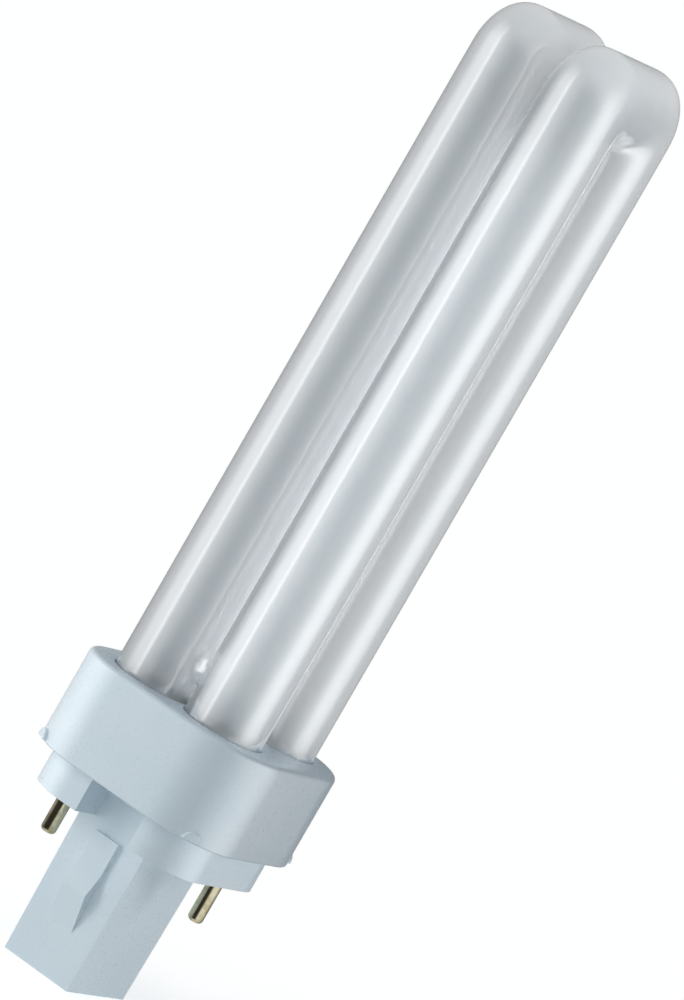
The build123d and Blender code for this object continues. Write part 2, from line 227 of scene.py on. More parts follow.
# %% [markdown]
# Shiny surfaces mirror the whole studio, so the studio itself has to be shaped. A round wall stands about
# the lamp and glows more in some directions than in others: bright on the left, a little less on the right,
# dim towards the camera and behind. Lights of that strength so near would burn out the matt surfaces, so
# only reflections see the wall. Glass, plastic and brass stand close together and still need different
# lines of light, as a photographer gets with small cards, so each has a wall of its own by light linking: a
# wall only lights the pieces in its collection, and the other walls are seen through it. Above and below, a
# wall fades to a plain lid, so that the lines of light end softly on the bends.

# %% Reflected walls
WALL_RADIUS = 0.35
WALL_GAP = 0.01                # the walls stand one behind the other
WALL_BOTTOM = -0.45
WALL_TOP = 0.42
FADE_LOW = -0.25               # below and above these heights a wall fades to the plain lid's brightness
FADE_HIGH = 0.14
LID_GLOW = 0.8
WALL_STEPS = 240
WALL_GLOW = {
    # for each finish: turn from the camera in degrees, brightness
    "glass": (
        (-180, 0.2), (-140, 0.35), (-106, 0.90), (-84, 2.1), (-66, 2.2), (-58, 2.9), (-50, 1.4),
        (-29, 0.66), (-13, 0.24), (0, 0.11), (15, 0.20), (30, 0.38), (45, 1.0), (60, 1.95), (75, 2.1),
        (92, 1.35), (106, 0.30), (126, 0.08), (180, 0.2)),
    "plastic": (
        (-180, 0.4), (-158, 0.6), (-128, 2.0), (-110, 4.2), (-94, 6.4), (-82, 6.2), (-70, 4.2), (-54, 1.7),
        (-40, 1.2), (-20, 0.3), (0, 0.1), (14, 0.4), (32, 3.0), (53, 6.0), (75, 7.4), (87, 7.0), (101, 4.8),
        (117, 2.0), (130, 0.5), (145, 0.2), (180, 0.2)),
    "brass": (
        (-180, 0.30), (-120, 0.40), (-95, 0.35), (-75, 0.05), (-6, 0.03), (4, 0.10), (18, 0.9), (60, 1.0),
        (92, 0.9), (110, 0.35), (180, 0.20)),
}
DARK = ((-180, 0.0), (180, 0.0))
# for each finish, the pieces that its wall and its lights reach
LIT = {finish: bpy.data.collections.new("lit_" + finish) for finish in (*WALL_GLOW, "post")}


def glow_at(line, turn_degrees):
    """A brightness in one direction, on straight lines between the listed points."""
    for (first, low), (second, high) in zip(line, line[1:]):
        if first <= turn_degrees <= second:
            return low + (high - low) * (turn_degrees - first) / (second - first)
    return line[-1][1]


def wall_material(name, clearness):
    """A glow that follows the wall's own attribute, on a clear or a black wall."""
    material = bpy.data.materials.new(name)
    material.use_nodes = True
    tree = material.node_tree
    tree.nodes.clear()
    level = tree.nodes.new("ShaderNodeAttribute")
    level.attribute_name = "glow"
    glow = tree.nodes.new("ShaderNodeEmission")
    tree.links.new(level.outputs["Fac"], glow.inputs["Strength"])
    clear = tree.nodes.new("ShaderNodeBsdfTransparent")
    clear.inputs["Color"].default_value = (clearness, clearness, clearness, 1)
    both = tree.nodes.new("ShaderNodeAddShader")
    tree.links.new(glow.outputs[0], both.inputs[0])
    tree.links.new(clear.outputs[0], both.inputs[1])
    output = tree.nodes.new("ShaderNodeOutputMaterial")
    tree.links.new(both.outputs[0], output.inputs["Surface"])
    return material


def make_wall(name, spare, line, lid, clearness):
    """A round wall with two lids and a brightness for every column, which only reflections see."""
    bm = bmesh.new()
    level = bm.verts.layers.float.new("glow")
    bmesh.ops.create_cone(
        bm, cap_ends=True, cap_tris=True, segments=WALL_STEPS, radius1=WALL_RADIUS + spare,
        radius2=WALL_RADIUS + spare, depth=WALL_TOP - WALL_BOTTOM + 2 * spare,
        matrix=Matrix.Translation((0, 0, (WALL_TOP + WALL_BOTTOM) / 2)))
    for height in (FADE_LOW, FADE_HIGH):
        bmesh.ops.bisect_plane(
            bm, geom=bm.verts[:] + bm.edges[:] + bm.faces[:], plane_co=(0, 0, height), plane_no=(0, 0, 1))
    for vert in bm.verts:
        across = vert.co.dot(level_direction(math.pi / 2))
        turn = math.degrees(math.atan2(across, vert.co.dot(level_direction(0))))
        in_middle = WALL_BOTTOM < vert.co.z - WALL_GAP and vert.co.z + WALL_GAP < WALL_TOP
        vert[level] = glow_at(line, turn) if in_middle else lid
    wall = object_from(name, bm)
    wall.data.materials.append(wall_material(name, clearness))
    wall.visible_camera = False
    wall.visible_diffuse = False
    wall.visible_transmission = False
    wall.visible_shadow = False
    return wall


for i, (finish, line) in enumerate(WALL_GLOW.items()):
    wall = make_wall("wall_for_" + finish, i * WALL_GAP, line, LID_GLOW, clearness=1.0)
    wall.light_linking.receiver_collection = LIT[finish]
make_wall("wall_behind", len(WALL_GLOW) * WALL_GAP, DARK, lid=0.0, clearness=0.0)
print("walls for", ", ".join(WALL_GLOW))

# %% [markdown]
# The even light comes from soft boxes. They could light everything at once, but then glass and plastic
# couldn't be balanced against each other, so each box lights the pieces of one finish. They stand on the
# left, in front and on the right. One on the right and behind lights the post, and one above the bends.

# %% Soft boxes
SOFT_BOXES = {
    # name: (turn from the camera in degrees, distance, width, height, watts, the finish that it lights)
    "left_box": (-70.0, 0.80, 0.30, 0.60, 2.2, "plastic"),
    "left_glass_box": (-70.0, 0.80, 0.30, 0.60, 0.6, "glass"),
    "front_box": (-30.0, 1.20, 0.60, 0.80, 1.8, "plastic"),
    "right_glass_box": (75.0, 0.80, 0.60, 0.80, 3.4, "glass"),
    "post_box": (115.0, 0.80, 0.30, 0.40, 1.8, "post"),
}
TOP_BOX_HEIGHT = 0.60          # a box that hangs over the lamp and lights the bends
TOP_BOX_SIZE = 0.50
TOP_BOX_WATTS = 0.6


def upright(place, back):
    """The place of a light that stands upright, with its back turned to a level direction."""
    up = Vector((0, 0, 1))
    return Matrix.Translation(place) @ Matrix((up.cross(back), up, back)).transposed().to_4x4()


def make_light(name, place, width, height, watts, finish):
    """A rectangular light for the pieces of one finish, unseen by the camera and by reflections."""
    data = bpy.data.lights.new(name, "AREA")
    data.shape = "RECTANGLE"
    data.size = width
    data.size_y = height
    data.energy = watts
    light = bpy.data.objects.new(name, data)
    scene.collection.objects.link(light)
    light.matrix_world = place
    light.visible_camera = False
    light.visible_glossy = False
    light.light_linking.receiver_collection = LIT[finish]


for name, (turn, distance, width, height, watts, finish) in SOFT_BOXES.items():
    out = level_direction(math.radians(turn))
    place = upright(out * distance + Vector((0, 0, height / 2)), out)
    make_light(name, place, width, height, watts, finish)
above = Matrix.Translation((0, 0, TOP_BOX_HEIGHT))
make_light("top_box", above, TOP_BOX_SIZE, TOP_BOX_SIZE, TOP_BOX_WATTS, "glass")
print("soft boxes:", ", ".join(SOFT_BOXES), "and one above")

# %% [markdown]
# The glass is clear outside and has a white powder on its inner wall. A real glass wall over a white core
# could be traced, but it is slow and adds little, since nothing is seen through the powder. The powder is a
# matt white base instead, and the shader's clear coat is the glass: it gives the sharp lines of light. The
# coat mirrors more than real glass does, so that the walls can be dimmer and no edge burns out. The powder
# lies a little unevenly, and drawn glass ripples along its length, so noise moves both slightly. Where legs
# face each other the powder is painted whiter: painted light for the light that passes from leg to leg.

# %% Coated glass
POWDER_THIN = (0.65, 0.775, 0.90, 1)
POWDER_THICK = (0.685, 0.805, 0.925, 1)
# painted light: the powder is painted whiter where legs face each other
PAINTED_GAP_LIGHT = (0.90, 0.93, 0.95, 1)   # where legs face each other
POWDER_PATCH = 0.006           # size of the thick and thin places in the powder
POWDER_GRAIN = 0.0004
RIPPLE_SIZE = 0.004            # across the tube
RIPPLE_STRETCH = 12            # how much longer a ripple is along the tube
RIPPLE_DEPTH = 0.00003
POWDER_ROUGH = (0.42, 0.54)
LIGHT_REACH = 0.08             # how far light spreads in the powder and the glass
COAT_ROUGH = 0.05
COAT_IOR = 2.5
NOISE_SPAN = (0.3, 0.7)        # where nearly all values of a noise lie


def new_material(name):
    """An empty material with its node tree and shader."""
    material = bpy.data.materials.new(name)
    material.use_nodes = True
    return material, material.node_tree, material.node_tree.nodes["Principled BSDF"]


def noise(tree, size, detail=2.0, stretch=(1, 1, 1)):
    """Noise on the object's own coordinates, with features of about the given size in metres."""
    place = tree.nodes.new("ShaderNodeTexCoord")
    mapping = tree.nodes.new("ShaderNodeMapping")
    mapping.inputs["Scale"].default_value = [1 / (size * s) for s in stretch]
    tree.links.new(place.outputs["Object"], mapping.inputs["Vector"])
    texture = tree.nodes.new("ShaderNodeTexNoise")
    texture.inputs["Scale"].default_value = 1.0
    texture.inputs["Detail"].default_value = detail
    tree.links.new(mapping.outputs["Vector"], texture.inputs["Vector"])
    return texture.outputs["Fac"]


def between(tree, factor, first, second, low=0.35, high=0.65):
    """A colour that goes from the first to the second as the factor goes from low to high."""
    ramp = tree.nodes.new("ShaderNodeValToRGB")
    ramp.color_ramp.elements[0].position = low
    ramp.color_ramp.elements[0].color = first
    ramp.color_ramp.elements[1].position = high
    ramp.color_ramp.elements[1].color = second
    tree.links.new(factor, ramp.inputs["Fac"])
    return ramp.outputs["Color"]


def ranged(tree, factor, low, high):
    """A noise stretched to a range of values."""
    stretch = tree.nodes.new("ShaderNodeMapRange")
    stretch.inputs["From Min"].default_value = NOISE_SPAN[0]
    stretch.inputs["From Max"].default_value = NOISE_SPAN[1]
    stretch.inputs["To Min"].default_value = low
    stretch.inputs["To Max"].default_value = high
    tree.links.new(factor, stretch.inputs["Value"])
    return stretch.outputs["Result"]


def bump(tree, height, depth, strength=1.0):
    """A normal that is raised by up to depth metres where the height is 1."""
    node = tree.nodes.new("ShaderNodeBump")
    node.inputs["Strength"].default_value = strength
    node.inputs["Distance"].default_value = depth
    tree.links.new(height, node.inputs["Height"])
    return node.outputs["Normal"]


def mixed(tree, factor, first, second):
    """The first colour, a socket, turned into the second, a value, as the factor goes from 0 to 1."""
    mix = tree.nodes.new("ShaderNodeMixRGB")
    tree.links.new(factor, mix.inputs["Fac"])
    tree.links.new(first, mix.inputs["Color1"])
    mix.inputs["Color2"].default_value = second
    return mix.outputs["Color"]


def coated_glass():
    """White powder under clear drawn glass, painted whiter as painted light where legs face each other."""
    material, tree, shader = new_material("coated_glass")
    powder = noise(tree, POWDER_PATCH, detail=6.0)
    open_side = between(tree, powder, POWDER_THIN, POWDER_THICK)
    # painted light: whiter powder where legs face each other, for light that passes between them
    facing = tree.nodes.new("ShaderNodeAttribute")
    facing.attribute_name = "between_legs"
    colour = mixed(tree, facing.outputs["Fac"], open_side, PAINTED_GAP_LIGHT)
    tree.links.new(colour, shader.inputs["Base Color"])
    grain = noise(tree, POWDER_GRAIN, detail=3.0)
    tree.links.new(ranged(tree, grain, *POWDER_ROUGH), shader.inputs["Roughness"])
    ripple = noise(tree, RIPPLE_SIZE, detail=1.0, stretch=(1, 1, RIPPLE_STRETCH))
    tree.links.new(bump(tree, ripple, RIPPLE_DEPTH), shader.inputs["Coat Normal"])
    shader.inputs["Subsurface Weight"].default_value = 1.0
    shader.inputs["Subsurface Scale"].default_value = LIGHT_REACH
    shader.inputs["Subsurface Radius"].default_value = (1.0, 1.0, 1.0)
    shader.inputs["Specular IOR Level"].default_value = 0.0
    shader.inputs["Coat Weight"].default_value = 1.0
    shader.inputs["Coat Roughness"].default_value = COAT_ROUGH
    shader.inputs["Coat IOR"].default_value = COAT_IOR
    return material


glass_finish = coated_glass()
print("made", glass_finish.name)

# %% [markdown]
# Collar and base are moulded in a pale plastic with a satin skin. Its gloss is broad and its grain is too
# fine to see as dots, but it keeps the highlights from looking like a mirror. A large, very weak noise in
# the colour stands for the way that a moulding is never quite even.

# %% Moulded plastic
PLASTIC_COOL = (0.655, 0.765, 0.83, 1)
PLASTIC_WARM = (0.685, 0.785, 0.845, 1)
PLASTIC_CLOUD = 0.009          # size of the places that differ in colour
PLASTIC_GRAIN = 0.00035
PLASTIC_GRAIN_DEPTH = 0.000012
PLASTIC_ROUGH = (0.26, 0.34)


def moulded_plastic():
    """Pale satin plastic."""
    material, tree, shader = new_material("moulded_plastic")
    cloud = noise(tree, PLASTIC_CLOUD, detail=4.0)
    tree.links.new(between(tree, cloud, PLASTIC_COOL, PLASTIC_WARM), shader.inputs["Base Color"])
    grain = noise(tree, PLASTIC_GRAIN, detail=2.0)
    tree.links.new(ranged(tree, grain, *PLASTIC_ROUGH), shader.inputs["Roughness"])
    tree.links.new(bump(tree, grain, PLASTIC_GRAIN_DEPTH), shader.inputs["Normal"])
    shader.inputs["Specular IOR Level"].default_value = 0.5
    return material


plastic_finish = moulded_plastic()
print("made", plastic_finish.name)

# %% [markdown]
# The pins are turned brass. A lathe leaves fine rings round them, so a wave texture along the axis gives
# the bump, and a little brown in the colour shows where fingers and air have dulled the metal.

# %% Brass and the hidden finishes
BRASS_BRIGHT = (0.70, 0.65, 0.45, 1)
BRASS_DULL = (0.38, 0.33, 0.19, 1)
BRASS_PATCH = 0.0016           # size of the dull places
BRASS_DULL_SPAN = (0.42, 0.78)
BRASS_ROUGH = (0.14, 0.26)
RING_PITCH = 0.000754          # from one ring of the lathe tool to the next
RING_DEPTH = 0.000003
RING_WOBBLE = 0.4
WAVE_RADIANS = 20              # a wave texture of scale 1 turns by this much in a metre
GLOSS_SPREAD = 0.06
MOTTLE_DEPTH = 0.025           # of a hidden finish's bump, as a share of the mottle's size


def turned_brass():
    """Brass with the rings of a lathe tool."""
    material, tree, shader = new_material("turned_brass")
    dull = noise(tree, BRASS_PATCH, detail=4.0)
    colour = between(tree, dull, BRASS_BRIGHT, BRASS_DULL, *BRASS_DULL_SPAN)
    tree.links.new(colour, shader.inputs["Base Color"])
    tree.links.new(ranged(tree, dull, *BRASS_ROUGH), shader.inputs["Roughness"])
    place = tree.nodes.new("ShaderNodeTexCoord")
    rings = tree.nodes.new("ShaderNodeTexWave")
    rings.wave_type = "BANDS"
    rings.bands_direction = "Z"
    rings.inputs["Scale"].default_value = 2 * math.pi / (WAVE_RADIANS * RING_PITCH)
    rings.inputs["Distortion"].default_value = RING_WOBBLE
    tree.links.new(place.outputs["Object"], rings.inputs["Vector"])
    tree.links.new(bump(tree, rings.outputs["Fac"], RING_DEPTH), shader.inputs["Normal"])
    shader.inputs["Metallic"].default_value = 1.0
    return material


def plain_finish(name, first, second, size, roughness, metallic=0.0):
    """A finish with a soft mottle, for the pieces inside the cap."""
    material, tree, shader = new_material(name)
    mottle = noise(tree, size, detail=4.0)
    tree.links.new(between(tree, mottle, first, second), shader.inputs["Base Color"])
    gloss = ranged(tree, mottle, roughness - GLOSS_SPREAD, roughness + GLOSS_SPREAD)
    tree.links.new(gloss, shader.inputs["Roughness"])
    tree.links.new(bump(tree, mottle, size * MOTTLE_DEPTH), shader.inputs["Normal"])
    shader.inputs["Metallic"].default_value = metallic
    return material


brass_finish = turned_brass()
cement_finish = plain_finish("chalky_cement", (0.66, 0.64, 0.59, 1), (0.76, 0.74, 0.70, 1), 0.0012, 0.85)
bulb_finish = plain_finish("starter_glass", (0.72, 0.77, 0.78, 1), (0.80, 0.84, 0.85, 1), 0.004, 0.10)
dip_finish = plain_finish("dipped_coat", (0.50, 0.20, 0.07, 1), (0.62, 0.28, 0.11, 1), 0.002, 0.25)
wire_finish = plain_finish("plated_wire", (0.55, 0.54, 0.52, 1), (0.66, 0.65, 0.62, 1), 0.0008, 0.30, 1.0)
print("made", brass_finish.name, "and four hidden finishes")

# %% [markdown]
# Each U of the glass is one round tube. A circle swept along a bent line would pinch at the tight inner
# bend, and a real bend is blown square at the top. So the tube is a row of rings: a circle is extruded from
# each place to the next, and in the bend every ring is stretched to reach from the slot between the legs to
# the outline of the bend, a square with rounded corners.

# %% Two U-shaped tubes
TUBE_RADIUS = 0.00615
BEND_CORNER = 0.0070           # outer corners of the flat-topped bend
SEAL_SIZE = (0.0090, 0.0032)   # flattened end of a leg that holds a filament
SEAL_LENGTH = 0.0040
BRIDGE_RISE = 0.0060           # the bridge's centre above the collar's top
BRIDGE_SPAN = 0.0065           # stretch of finer rings on each side of the bridge
BRIDGE_ROWS = 26
LEG_ROWS = 20
BEND_ROWS = 56
ROUND_STEPS = 96

glass_low, glass_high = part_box("discharge_tube")
collar_low, collar_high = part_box("collar")
u_place = glass_high.x - TUBE_RADIUS
leg_place = glass_high.y - TUBE_RADIUS
slot_radius = leg_place - TUBE_RADIUS
bend_half = glass_high.y                       # half the side of the square that the bend fills
bend_centre = glass_high.z - bend_half
leg_end = glass_low.z + SEAL_LENGTH
bridge_height = collar_high.z + BRIDGE_RISE


def loft_rings(bm, places, steps):
    """A closed tube: a unit circle is put at the first place, then extruded to each of the others."""
    ring = bmesh.ops.create_circle(bm, cap_ends=True, radius=1.0, segments=steps, matrix=places[0])
    edges = list({edge for vert in ring["verts"] for edge in vert.link_edges})
    for before, after in zip(places, places[1:]):
        grown = bmesh.ops.extrude_edge_only(bm, edges=edges)["geom"]
        verts = [part for part in grown if isinstance(part, bmesh.types.BMVert)]
        edges = [part for part in grown if isinstance(part, bmesh.types.BMEdge)]
        bmesh.ops.transform(bm, matrix=after @ before.inverted(), verts=verts)
    bmesh.ops.edgeloop_fill(bm, edges=edges)
    bmesh.ops.recalc_face_normals(bm, faces=bm.faces)


def ring_at(turn, half_width, half_depth, centre, origin):
    """A ring's place: an ellipse at a distance from the origin, turned about X from +Y."""
    return (
        Matrix.Translation(origin) @ Matrix.Rotation(turn, 4, "X")
        @ Matrix.Translation((0, centre, 0)) @ Matrix.Diagonal((half_width, half_depth, 1, 1)))


def bend_reach(turn):
    """From the slot's centre to the bend's outline, in a direction turned from +Y."""
    along = max(abs(math.cos(turn)), abs(math.sin(turn)))
    across = min(abs(math.cos(turn)), abs(math.sin(turn)))
    corner_centre = bend_half - BEND_CORNER
    if bend_half * across / along <= corner_centre:
        return bend_half / along
    middle = corner_centre * (along + across)
    return middle + math.sqrt(BEND_CORNER**2 - 2 * corner_centre**2 + middle**2)


def tube_places(x):
    """Every ring of one U, from the seal up one leg, over the bend and down the other leg."""
    fine = [bridge_height + BRIDGE_SPAN * (2 * i / BRIDGE_ROWS - 1) for i in range(BRIDGE_ROWS + 1)]
    rest = [fine[-1] + (bend_centre - fine[-1]) * i / LEG_ROWS for i in range(1, LEG_ROWS)]
    heights = [leg_end] + fine + rest
    seal_width, seal_depth = SEAL_SIZE[0] / 2, SEAL_SIZE[1] / 2
    places = [ring_at(0, seal_width, seal_depth, leg_place, (x, 0, z)) for z in (glass_low.z, leg_end)]
    places += [ring_at(0, TUBE_RADIUS, TUBE_RADIUS, leg_place, (x, 0, z)) for z in heights]
    for i in range(BEND_ROWS + 1):
        turn = math.pi * i / BEND_ROWS
        reach = bend_reach(turn)
        half_depth = (reach - slot_radius) / 2
        places.append(ring_at(turn, TUBE_RADIUS, half_depth, slot_radius + half_depth, (x, 0, bend_centre)))
    places += [
        ring_at(math.pi, TUBE_RADIUS, TUBE_RADIUS, leg_place, (x, 0, z)) for z in reversed(heights)]
    return places


def make_u(name, x):
    """One U of the glass."""
    bm = bmesh.new()
    loft_rings(bm, tube_places(x), ROUND_STEPS)
    return object_from(name, bm)


glass = make_u("glass_tubes", -u_place)
second_u = make_u("second_u", u_place)
print("each U has", len(glass.data.polygons), "faces; bend centre at", round(bend_centre, 5))

# %% [markdown]
# A short bridge joins the two U's just above the collar, so that the discharge runs through all four legs.
# It is a waisted neck, lofted along X. A boolean welds it to the tubes, and a little smoothing turns the
# sharp crease of the weld into the soft fillet that melted glass has.

# %% Glass bridge
NECK_RADIUS = 0.0028
NECK_FLARE = 0.0035
NECK_REACH = 0.0030
NECK_ROWS = 16
WELD_ZONE = 0.0046             # vertices this near the neck's axis are smoothed
WELD_ROUNDS = 12
FACING_START = 0.57            # share of the radius by which a surface leans towards another leg
FACING_FULL = 0.95


def joined(piece, others, operation):
    """The piece after booleans with the other objects, which are used up."""
    for other in others:
        modifier = piece.modifiers.new(other.name, "BOOLEAN")
        modifier.operation = operation
        modifier.solver = "EXACT"
        modifier.object = other
    graph = bpy.context.evaluated_depsgraph_get()
    mesh = bpy.data.meshes.new_from_object(piece.evaluated_get(graph))
    piece.modifiers.clear()
    piece.data = mesh
    for other in others:
        bpy.data.objects.remove(other)
    return piece


def make_neck():
    """The waisted neck between the U's."""
    places = []
    for i in range(NECK_ROWS + 1):
        x = NECK_REACH * (2 * i / NECK_ROWS - 1)
        radius = NECK_RADIUS + (NECK_FLARE - NECK_RADIUS) * (x / NECK_REACH) ** 2
        places.append(
            Matrix.Translation((x, -leg_place, bridge_height)) @ Matrix.Rotation(math.pi / 2, 4, "Y")
            @ Matrix.Diagonal((radius, radius, 1, 1)))
    bm = bmesh.new()
    loft_rings(bm, places, ROUND_STEPS)
    return object_from("neck", bm)


def soften_weld(piece):
    """Smooths the crease where the neck meets the tubes."""
    bm = bmesh.new()
    bm.from_mesh(piece.data)
    near = [
        vert for vert in bm.verts
        if abs(vert.co.x) < NECK_REACH and vert.co.y < 0
        and math.hypot(vert.co.y + leg_place, vert.co.z - bridge_height) < WELD_ZONE]
    for _ in range(WELD_ROUNDS):
        bmesh.ops.smooth_vert(
            bm, verts=near, factor=0.5, use_axis_x=True, use_axis_y=True, use_axis_z=True)
    bm.to_mesh(piece.data)
    bm.free()
    return len(near)


def mark_facing(piece):
    """Marks on every vertex, from 0 to 1, how squarely it faces another leg, to paint light into the powder.
    """
    bm = bmesh.new()
    bm.from_mesh(piece.data)
    mark = bm.verts.layers.float.new("between_legs")
    for vert in bm.verts:
        across = (u_place - abs(vert.co.x)) / TUBE_RADIUS
        rise = max(0, vert.co.z - bend_centre)
        half_depth = (bend_reach(math.atan2(rise, vert.co.y)) - slot_radius) / 2
        along = 1 - (math.hypot(vert.co.y, rise) - slot_radius) / half_depth
        facing = (max(across, along) - FACING_START) / (FACING_FULL - FACING_START)
        vert[mark] = min(1, max(0, facing))
    bm.to_mesh(piece.data)
    bm.free()


def shade_smooth(piece):
    """Rounded shading on every face."""
    piece.data.polygons.foreach_set("use_smooth", [True] * len(piece.data.polygons))


def finish_piece(piece, node, material, finish):
    """Gives a piece its finish and its light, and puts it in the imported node's place."""
    piece.data.materials.clear()
    piece.data.materials.append(material)
    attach(piece, "root")
    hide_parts(node)
    LIT[finish].objects.link(piece)


glass = joined(glass, [second_u, make_neck()], "UNION")
print("smoothed", soften_weld(glass), "vertices at the weld")
mark_facing(glass)
shade_smooth(glass)
finish_piece(glass, "discharge_tube", glass_finish, "glass")

# %% [markdown]
# In the real lamp some light passes right through the powdered tubes and fills the narrow space between the
# four legs. The shader carries light only a few millimetres, so the gaps would come out too dark. Four slim
# strip lights, back to back on the lamp's axis, give that light back. They light the glass alone.

# %% Light between the legs
STRIP_WIDTH = 0.002
STRIP_GAP = 0.003              # from the strips' ends to the collar and to the bends
STRIP_WATTS = 0.0006
STRIPS = 4

strip_low = collar_high.z + STRIP_GAP
strip_high = bend_centre - STRIP_GAP
for i in range(STRIPS):
    turn = 2 * math.pi * i / STRIPS
    out = Vector((math.cos(turn), math.sin(turn), 0))
    place = out * STRIP_WIDTH / 2 + Vector((0, 0, (strip_low + strip_high) / 2))
    make_light(
        f"gap_strip_{i}", upright(place, -out), STRIP_WIDTH, strip_high - strip_low, STRIP_WATTS, "glass")
print("strip lights between", round(strip_low, 4), "and", round(strip_high, 4))

# %% [markdown]
# The collar is a square cap with generous corners. It starts as one square face whose corners are bevelled,
# which is quicker than drawing arcs, and is extruded to a column. Four half-round nubs on the lower edge,
# where the real cap snaps over the base, are slices of a cylinder and are joined on by booleans.

# %% Collar shell
COLLAR_CORNER = 0.0104
COLLAR_EDGE = 0.0008
SKIRT_EDGE = 0.0003
SKIRT_WALL = 0.0014
NUB_RADIUS = 0.0017
NUB_PROUD = 0.0005
NUB_STEPS = 48
CORNER_STEPS = 20
EDGE_STEPS = 3                 # in a fine round
TOP_EDGE_STEPS = 6
TOLERANCE = 0.000005           # two places nearer than this count as one

collar_width = 2 * collar_high.x


def bevel_edges(bm, edges, width, steps):
    """A round along some edges."""
    bmesh.ops.bevel(
        bm, geom=edges, affect="EDGES", offset=width, offset_type="OFFSET", segments=steps,
        profile=0.5, material=-1)


def edges_at(bm, height):
    """The edges that lie at one height."""
    return [edge for edge in bm.edges if all(abs(vert.co.z - height) < TOLERANCE for vert in edge.verts)]


def extrude_up(bm, vector):
    """Every face pulled along a vector to a closed solid."""
    grown = bmesh.ops.extrude_face_region(bm, geom=bm.faces[:])["geom"]
    verts = [part for part in grown if isinstance(part, bmesh.types.BMVert)]
    bmesh.ops.translate(bm, verts=verts, vec=vector)
    bmesh.ops.recalc_face_normals(bm, faces=bm.faces)


def column_mesh(width, corner, bottom, top):
    """A square column with rounded corners about the lamp's axis."""
    bm = bmesh.new()
    square = bmesh.ops.create_grid(
        bm, x_segments=1, y_segments=1, size=width / 2, matrix=Matrix.Translation((0, 0, bottom)))
    bmesh.ops.bevel(
        bm, geom=square["verts"], affect="VERTICES", offset=corner, offset_type="OFFSET",
        segments=CORNER_STEPS, profile=0.5, material=-1)
    extrude_up(bm, (0, 0, top - bottom))
    return bm


def snap_nub(name, turn):
    """A half-round nub on the skirt's lower edge, at one corner."""
    reach = (collar_width / 2 - COLLAR_CORNER) * math.sqrt(2) + COLLAR_CORNER
    start = reach - SKIRT_WALL / 2
    middle = (reach + NUB_PROUD + start) / 2
    bm = bmesh.new()
    bmesh.ops.create_cone(
        bm, cap_ends=True, segments=NUB_STEPS, radius1=NUB_RADIUS, radius2=NUB_RADIUS,
        depth=reach + NUB_PROUD - start,
        matrix=Matrix.Translation((middle, 0, 0)) @ Matrix.Rotation(math.pi / 2, 4, "Y"))
    rim = [edge for edge in bm.edges if all(vert.co.x > reach for vert in edge.verts)]
    bevel_edges(bm, rim, NUB_PROUD / 2, EDGE_STEPS)
    cut = bmesh.ops.bisect_plane(
        bm, geom=bm.verts[:] + bm.edges[:] + bm.faces[:], plane_co=(0, 0, SKIRT_EDGE),
        plane_no=(0, 0, 1), clear_inner=True)
    open_edges = [part for part in cut["geom_cut"] if isinstance(part, bmesh.types.BMEdge)]
    bmesh.ops.edgeloop_fill(bm, edges=open_edges)
    bmesh.ops.transform(
        bm, matrix=Matrix.Translation((0, 0, collar_low.z)) @ Matrix.Rotation(turn, 4, "Z"), verts=bm.verts)
    bmesh.ops.recalc_face_normals(bm, faces=bm.faces)
    return object_from(name, bm)


def make_shell():
    """The cap's outer form with its nubs."""
    bm = column_mesh(collar_width, COLLAR_CORNER, collar_low.z, collar_high.z)
    bevel_edges(bm, edges_at(bm, collar_high.z), COLLAR_EDGE, TOP_EDGE_STEPS)
    bevel_edges(bm, edges_at(bm, collar_low.z), SKIRT_EDGE, EDGE_STEPS)
    shell = object_from("collar_shell", bm)
    nubs = [snap_nub(f"nub_{i}", math.pi * (2 * i + 1) / 4) for i in range(4)]
    return joined(shell, nubs, "UNION")


collar = make_shell()
print("collar shell has", len(collar.data.polygons), "faces with its nubs")

# %% [markdown]
# Inside, the cap is hollow, with a hole for each leg of the glass. A Solidify modifier could give it walls
# of one thickness, but the skirt is thinner where the base's flange fits into it. So two columns of the
# same kind as the shell cut the hollow, and round rods cut the holes, whose upper edges get a small bevel.

# %% Collar hollow and holes
COLLAR_WALL = 0.0020
COLLAR_TOP = 0.0016
HOLE_GAP = 0.00015
HOLE_EDGE = 0.0002
RIM_FOLD = 1.0                 # an edge that folds by more radians than this is a hole's rim
CREASE_DEGREES = 35
SPARE = 0.001                  # how far a cutter runs past what it cuts

base_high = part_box("base")[1]
flange_top = base_high.z


def column(name, width, corner, bottom, top):
    """The same column as an object."""
    return object_from(name, column_mesh(width, corner, bottom, top))


def rod(name, radius, x, y, bottom, top):
    """An upright round rod."""
    bm = bmesh.new()
    bmesh.ops.create_cone(
        bm, cap_ends=True, segments=ROUND_STEPS, radius1=radius, radius2=radius, depth=top - bottom,
        matrix=Matrix.Translation((x, y, (bottom + top) / 2)))
    return object_from(name, bm)


def hollow_collar(shell):
    """The cap shell after its hollow and its holes are cut."""
    cutters = [
        column("cap_hollow", collar_width - 2 * COLLAR_WALL, COLLAR_CORNER - COLLAR_WALL,
               flange_top - SPARE, collar_high.z - COLLAR_TOP),
        column("cap_rebate", collar_width - 2 * SKIRT_WALL, COLLAR_CORNER - SKIRT_WALL,
               collar_low.z - SPARE, flange_top)]
    for x in (-u_place, u_place):
        for y in (-leg_place, leg_place):
            cutters.append(rod("leg_hole", TUBE_RADIUS + HOLE_GAP, x, y,
                               collar_high.z - COLLAR_TOP - SPARE, collar_high.z + SPARE))
    return joined(shell, cutters, "DIFFERENCE")


